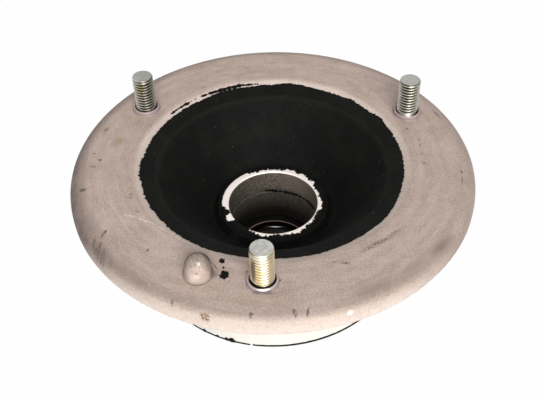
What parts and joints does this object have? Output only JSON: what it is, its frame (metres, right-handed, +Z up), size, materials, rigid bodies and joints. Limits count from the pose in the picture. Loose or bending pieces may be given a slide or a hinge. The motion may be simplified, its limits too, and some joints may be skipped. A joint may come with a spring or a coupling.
{
  "type": "strut mount",
  "caption": "Round cast strut mount with threaded studs on its flange, a rubber funnel and an inner sleeve with a sealed ball bearing for the damper rod.",
  "frame": {"origin": "centre of the flange's top face", "axes": "+Z up along the studs and the bearing's axis, the stud beside the locating pin on -Y"},
  "size_m": [0.15, 0.15, 0.0808],
  "materials": {
    "flange_housing": "blasted casting",
    "rubber_cone": "matte",
    "inner_sleeve": "rough casting",
    "studs": "yellow zinc plated",
    "bearing_outer_ring": "ground",
    "bearing_inner_ring": "ground",
    "bearing_balls": "polished",
    "cage_upper": "pressed sheet",
    "cage_lower": "pressed sheet",
    "cage_rivets": "plain",
    "upper_seal": "matte",
    "lower_seal": "matte",
    "retaining_ring": "phosphated spring steel"
  },
  "bodies": {
    "mount": {"flange_housing": "flange_housing", "rubber_cone": "rubber_cone", "inner_sleeve": "inner_sleeve", "studs": "studs", "bearing_outer_ring": "bearing_outer_ring", "upper_seal": "upper_seal", "lower_seal": "lower_seal", "retaining_ring": "retaining_ring"},
    "inner_ring": {"bearing_inner_ring": "bearing_inner_ring"},
    "cage": {"bearing_balls": "bearing_balls", "cage_upper": "cage_upper", "cage_lower": "cage_lower", "cage_rivets": "cage_rivets"}
  },
  "joints": [
    {"name": "inner_ring_spin", "type": "hinge", "parent": "mount", "child": "inner_ring", "pos_m": [0, 0, -0.0535], "axis": [0, 0, 1], "continuous": true},
    {"name": "cage_spin", "type": "hinge", "parent": "mount", "child": "cage", "pos_m": [0, 0, -0.0535], "axis": [0, 0, 1], "continuous": true}
  ],
  "couplings": [
    {"joint": "cage_spin", "follows": "inner_ring_spin", "ratio": 0.36771}
  ]
}
